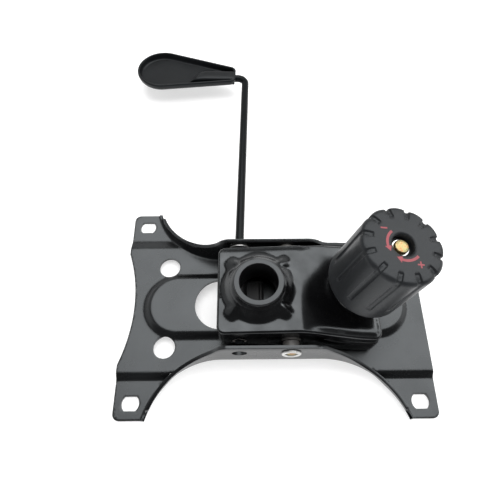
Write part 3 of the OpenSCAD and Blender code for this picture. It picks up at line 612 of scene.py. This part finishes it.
def knob():
    steps = [0, .3, .6, .9, 1.2, 1.5, 1.8, 2.1, 2.5, 3.0, 3.6, 4.4, 5.3, 6.2]
    local = np.array([-v for v in reversed(steps[1:])] + steps)
    turns = np.concatenate([(k + 0.5) * math.pi * 2 / GROOVES + local / KNOB_MEAN for k in range(GROOVES)])
    off = np.tile(local, GROOVES) / KNOB_MEAN
    edge = 3.4
    top = KNOB_FACE - edge

    # Radius, height, and the direction in which a groove is pressed in there
    profile = [(4.7, 71, 0, 1), (7.4, 71, 0, 1), (7.6, 71.3, 1, 0), (7.6, 76.2, 1, 0), (8.3, 76.9, 0, 1)]
    recess = len(profile)
    profile += [(r, KNOB_FACE, 0, 1) for r in (9, 13, 17.5, 19, 19.4, 19.8, 20.2, 20.7, 21.4, 22.6)]
    for a in np.radians(np.linspace(90, 0, 12)):
        c, s = math.cos(a), math.sin(a)
        profile.append((knob_side(top) + edge * (c - 1), top + edge * s, c, s))
    heights = [73, 72.4, 71.8, 71.2, 70.6, 70, 69.4, 68.8, 68.2, 67, 65, 62, 58, 54, 50, 46, 42, 38, 35.5]
    heights += [34.6, 34, 33.5, 33, 32.6, 32, 31, 28, 25, 22.5, 21.8]
    profile += [(knob_side(s), s, 1, 0) for s in heights]
    outer = range(recess, len(profile))
    inner = [(knob_side(21.2) - 0.2, 21.2), (knob_side(21) - 0.7, 21), (25.4, 21), (25.2, 21.4), (23.1, 70.4),
             (22.5, 71), (11.2, 71), (11, 70.7), (11, 60.3), (10.7, 60), (7.6, 60), (7.6, 68.05),
             (4.7, 68.05)]
    profile += [(r, s, 0, 0) for r, s in inner]
    verts = []
    for i, (r, s, nr, ns) in enumerate(profile):
        push = np.zeros(len(turns))
        if i in outer:
            shape = np.clip((1.9 - np.abs(off) * r) / 0.6, 0, 1)
            depth = (0.6 + 0.4 * smooth((s - 70) / 2)) * smooth((s - 32.0) / 2.0) * smooth((r - 19) / 1.2)
            lobe = 0.9 * (1 - np.abs(off) * KNOB_MEAN / 6.94) ** 2
            push = depth * shape + lobe * smooth((r - 21) / 3) * smooth((s - 24) / 20)
        radius = r - nr * push
        verts += list(zip(radius * np.cos(turns), radius * np.sin(turns), s - ns * push))
    faces = quads(len(profile), len(turns), True) + seam(len(profile), len(turns))
    faces = [tuple(reversed(f)) for f in faces]
    obj = make_mesh("knob_cup", verts, faces, on_bolt)
    show(obj, "knob", knob_plastic, "knob_plastic", "knob", angle=40)


def knob_marks():
    """Plain curved arrows, a plus and a minus, printed on the knob's face."""
    z = KNOB_FACE + 0.04
    verts, faces = [], []

    def patch(outline):
        start = len(verts)
        verts.extend((x, y, z) for x, y in outline)
        faces.append(tuple(range(start, len(verts))))

    def at(r, degrees):
        a = math.radians(degrees)
        return (r * math.cos(a), r * math.sin(a))

    for first, last in ((128, 190), (318, 254)):
        turn = 1 if last > first else -1
        angles = np.linspace(first, last, 14)
        for a, b in zip(angles[:-1], angles[1:]):
            patch([at(10.0, a), at(11.7, a), at(11.7, b), at(10.0, b)][::turn])
        patch([at(8.6, last), at(13.1, last), at(10.8, last + 19 * turn)][::turn])
    long, thin = 2.2, 0.5
    for mid, plus in ((138, False), (304, True)):
        cx, cy = at(15.6, mid)
        strokes = [(-long, -thin, long, thin)]
        if plus:
            strokes += [(-thin, thin, thin, long), (-thin, -long, thin, -thin)]
        for x0, y0, x1, y1 in strokes:
            patch([(cx + x0, cy + y0), (cx + x1, cy + y0), (cx + x1, cy + y1), (cx + x0, cy + y1)])
    obj = make_mesh("knob_marks", verts, faces, on_bolt)
    show(obj, "knob", red_print, "knob_plastic")


# Handle: a hollow paddle with a rounded rim and a tapering rod socket

REACH = 191.0


def paddle_loop(inset, n=168):
    """Outline round three circles, moved inwards by inset."""
    loop = []
    circles = [(-85.5, REACH + 8.1, 25.8), (-16.2, REACH + 6.8, 6.2), (-16.2, REACH - 3.0, 6.2)]
    for k in range(n):
        a = 2 * math.pi * (k + 0.5) / n
        nx, ny = math.cos(a), math.sin(a)
        x, y, r = max(circles, key=lambda c: c[0] * nx + c[1] * ny + c[2])
        r = max(r - inset, 0.05)
        loop.append((x + r * nx, y + r * ny))
    return loop


def handle():
    # Inset and height of the tray's cross section, from the middle of its back round the rim to its floor
    rim = 7.5
    profile = [(9.0, -4.5)]
    profile += [(rim - rim * math.cos(a), 3.0 - rim * math.sin(a)) for a in np.radians(np.linspace(90, 0, 9))]
    profile += [(0, 3.6), (0.3, 4.2), (0.9, 4.6), (1.5, 4.65), (2.0, 4.4), (2.3, 3.8), (2.5, 2.5), (2.8, 0.2)]
    profile += [(3.2, -0.8), (4.0, -1.3), (5.2, -1.4)]
    verts, n = [], 168
    for inset, z in profile:
        verts += [(x, y, z) for x, y in paddle_loop(inset, n)]
    faces = quads(len(profile), n, True) + caps(len(profile), n)
    obj = make_mesh("handle_tray", verts, faces, on_lever)
    show(obj, "lever", handle_plastic, "handle_plastic", "lever_handle", angle=60)

    # Place, half width and height of the socket's cross sections
    stations = [(-11.0, 6.6, 4.5), (-11.6, 6.9, 4.8)] + [(-14 - k * 4, 7.0, 5.0) for k in range(8)]
    stations += [(-45, 6.9, 4.8), (-47.5, 6.6, 4.2), (-49.5, 6.2, 3.2), (-51, 5.7, 1.9), (-52.2, 5.2, 0.3)]
    stations.append((-53, 4.8, -1.3))
    foot = -1.8
    verts, m = [], 20
    for x, w, h in stations:
        for k in range(m + 1):
            a = math.pi * k / m
            c, s = math.cos(a), math.sin(a)
            forward = x + 0.9 * w * c * smooth((-32 - x) / 12)
            across = REACH + w * math.copysign(abs(c) ** 0.5, c)
            verts.append((forward, across, foot + (h - foot) * abs(s) ** 0.5))
    faces = quads(len(stations), m + 1, True) + caps(len(stations), m + 1)
    faces = [tuple(reversed(f)) for f in faces]
    obj = make_mesh("handle_socket", verts, faces, on_lever)
    show(obj, "lever", handle_plastic, "handle_plastic", angle=50)


# Spring, pivot shaft, valve tongue, hub and bolt end

def spring():
    """Two lengths of one coil, split four turns above its foot."""
    coils, wire, radius, per_turn = 6, 4.6, 13.5, 28
    foot, top = 2.3, 57.4
    cut = 4 * per_turn
    close = wire + 0.6
    opened = (top - foot - wire - 2 * close) / (coils - 2)
    path = []
    for i in range(coils * per_turn + 1):
        t = i / per_turn
        closed_turns = min(t, 1) + max(t - coils + 1, 0)
        open_turns = min(max(t - 1, 0), coils - 2)
        z = foot + wire / 2 + close * closed_turns + opened * open_turns
        path.append((radius * math.cos(2 * math.pi * t), radius * math.sin(2 * math.pi * t), z))
    for name, part, low, high in (("spring_lower", path[:cut + 1], "base", "bolt"),
                                  ("spring_upper", path[cut:], "bolt", "thrust")):
        verts, faces = tube(part, wire / 2, 12)
        obj = make_mesh(name, verts, faces, on_bolt)
        shade(obj)
        obj.data.materials.append(spring_steel)
        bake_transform(obj)
        if name == "spring_lower":
            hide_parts("tension_spring")


def pivot():
    """Shaft with a rolled hollow head at each end, turned about the cross axis."""
    half = [(0.02, 42.6), (4.3, 42.6), (4.5, 42.9), (4.5, 45.0)]
    half += [(5.9 - 1.4 * math.cos(a), 45.0 + 1.1 * math.sin(a)) for a in np.radians(np.linspace(15, 165, 9))]
    half += [(7.3, 44.9), (7.2, 44.3), (6.6, 44.02), (4.98, 44.02), (4.98, 0)]
    profile = half + [(r, -y) for r, y in reversed(half[:-1])]
    verts, n = [], 64
    for r, y in profile:
        verts += [(x, y, z) for x, z in ring(PIVOT_X, PIVOT_Z, r, n)]
    obj = make_mesh("pivot_rivet", verts, quads(len(profile), n, True) + caps(len(profile), n))
    show(obj, "seat", zinc, "zinc", "pivot_shaft", angle=40)

    core = [(3.6, 43.2), (3.4, 45.2), (1.6, 45.9)]
    verts, faces, n = [], [], 32
    for side in (1, -1):
        start = len(verts)
        for r, y in core:
            verts += [(x, side * y, z) for x, z in ring(PIVOT_X, PIVOT_Z, r, n)]
        rows = quads(len(core), n, True) + caps(len(core), n)[1:]
        faces += [tuple(start + i for i in f[::side]) for f in rows]
    obj = make_mesh("pivot_core", verts, faces)
    show(obj, "seat", yellow_zinc, "yellow_zinc", angle=40)


def tongue():
    """Valve tongue, its sleeve a little shorter so that the pushed-in rod clears it."""
    node = frame["nodes"]["valve_tongue"]
    shorter = 0.4
    verts = np.array([node.matrix_world @ v.co for v in node.data.vertices]) / MM
    end = np.abs(verts[:, 1]).max()
    verts[np.abs(verts[:, 1]) > end - 0.1, 1] *= 1 - shorter / end
    obj = make_mesh("tongue_sleeve", verts, [tuple(f.vertices) for f in node.data.polygons])
    show(obj, "tongue", spring_steel, "spring_steel", "valve_tongue", angle=30)


def hub_tube():
    """Turned tube with a broken outer edge at its mouth."""
    edge = 0.9
    profile = [(13.7, 32.2), (18.4, 32.2), (18.4, 55.1)]
    profile += arc(17.5, 55.1, edge, math.pi / 12, math.pi / 2, 5) + [(17.5, 55.1 + edge)]
    profile += [(14.4, 56.0), (14.0, 55.6), (14.0, 44.0)]
    verts, n = [], 96
    for r, z in profile:
        verts += [(x, y, z) for x, y in ring(HUB_X, 0, r, n)]
    obj = make_mesh("hub_socket", verts, quads(len(profile), n, True) + seam(len(profile), n))
    show(obj, "base", hub_paint, "hub_paint", "hub_tube", angle=30)


def hub_weld():
    """Smooth lacquered weld in the corner between the tube and the boss."""
    corner = [(18.42, 53.4), (19.0, 52.85), (19.6, 52.2), (20.2, 51.5), (20.9, 50.6), (21.6, 49.6)]
    corner += [(21.6, 48), (18.42, 48)]
    verts, n = [], 96
    for r, z in corner:
        verts += [(x, y, z) for x, y in ring(HUB_X, 0, r, n)]
    faces = quads(len(corner), n, True) + seam(len(corner), n)
    obj = make_mesh("hub_weld", verts, [tuple(reversed(f)) for f in faces])
    show(obj, "base", housing_paint, "housing_paint", angle=40)


def bolt_end():
    """Peened end of the tension bolt in the knob's recess."""
    profile = [(3.9, 71.9), (4.5, 71.95), (4.8, 72.3), (4.8, 73.5), (4.5, 74.2), (4.0, 74.6), (3.4, 74.6)]
    profile += [(2.9, 74.1), (2.3, 73.4), (1.6, 72.9), (0.9, 72.7), (0.05, 72.65)]
    verts, n = [], 40
    for r, z in profile:
        verts += [(x, y, z) for x, y in ring(0, 0, r, n)]
    faces = quads(len(profile), n, True) + caps(len(profile), n)[1:]
    obj = make_mesh("bolt_peen", verts, faces, on_bolt)
    show(obj, "bolt", yellow_zinc, "yellow_zinc", angle=40)


seat_plate()
housing()
knob()
knob_marks()
handle()
spring()
tongue()
hub_tube()
hub_weld()
pivot()
bolt_end()
for name in ("lever_rod", "tension_bolt", "bolt_end_washer"):
    shade(frame["nodes"][name], 40)


# Floor, light and camera

WIDE = 4000
corners = [(-WIDE, -WIDE, 0), (WIDE, -WIDE, 0), (WIDE, WIDE, 0), (-WIDE, WIDE, 0)]
floor = make_mesh("floor", corners, [(0, 1, 2, 3)])
floor_white = material("floor_white", (0.56, 0.56, 0.56), 0.6, vary=0.01, bump=0.0, cloud=3.0)
glow = floor_white.node_tree.nodes["Principled BSDF"]
glow.inputs["Emission Color"].default_value = (1, 1, 1, 1)
glow.inputs["Emission Strength"].default_value = 0.5
floor.data.materials.append(floor_white)

world = bpy.data.worlds.new("studio")
scene.world = world
world.use_nodes = True
sky = world.node_tree.nodes["Background"]
sky.inputs["Color"].default_value = (1, 1, 1, 1)
sky.inputs["Strength"].default_value = 0.12


def softbox(name, place, target, size, power, mirrored=True):
    """A rectangular lamp. Its place, target and size are in metres."""
    light = bpy.data.lights.new(name, "AREA")
    light.shape = "RECTANGLE"
    light.size, light.size_y = size
    light.energy = power
    obj = bpy.data.objects.new(name, light)
    obj.location = place
    obj.rotation_euler = (Vector(target) - Vector(place)).to_track_quat("-Z", "Y").to_euler()
    obj.visible_glossy = mirrored
    scene.collection.objects.link(obj)


softbox("top_box", (0.52, 0.5, 1.28), (0.47, 0, 0), (2.5, 1.3), 44)
softbox("front_box", (0.0, -1.35, 0.5), (0, 0, 0.02), (2.4, 0.8), 34, mirrored=False)
softbox("left_box", (-1.5, 0.3, 0.6), (0, 0, 0.03), (1.6, 1.2), 4)
softbox("right_box", (1.5, 0.3, 0.6), (0, 0, 0.03), (1.6, 1.2), 7)
softbox("back_box", (0.0, 2.0, 0.55), (0, 0, 0.03), (5.0, 1.2), 14)

camera_data = bpy.data.cameras.new("camera")
camera_data.sensor_width = 36.0
camera_data.lens = 32.82
camera = bpy.data.objects.new("camera", camera_data)
scene.collection.objects.link(camera)
scene.camera = camera
ahead = Vector((0.0039, 0.4510, -0.8925)).normalized()
above = Vector((0.0078, 0.8925, 0.4510))
aside = ahead.cross(above).normalized()
above = aside.cross(ahead)
turn = Matrix((aside, above, -ahead)).transposed().to_4x4()
camera_place = Vector((-19.42, -126.48, 355.80)) * MM
camera.matrix_world = Matrix.Translation(camera_place) @ turn
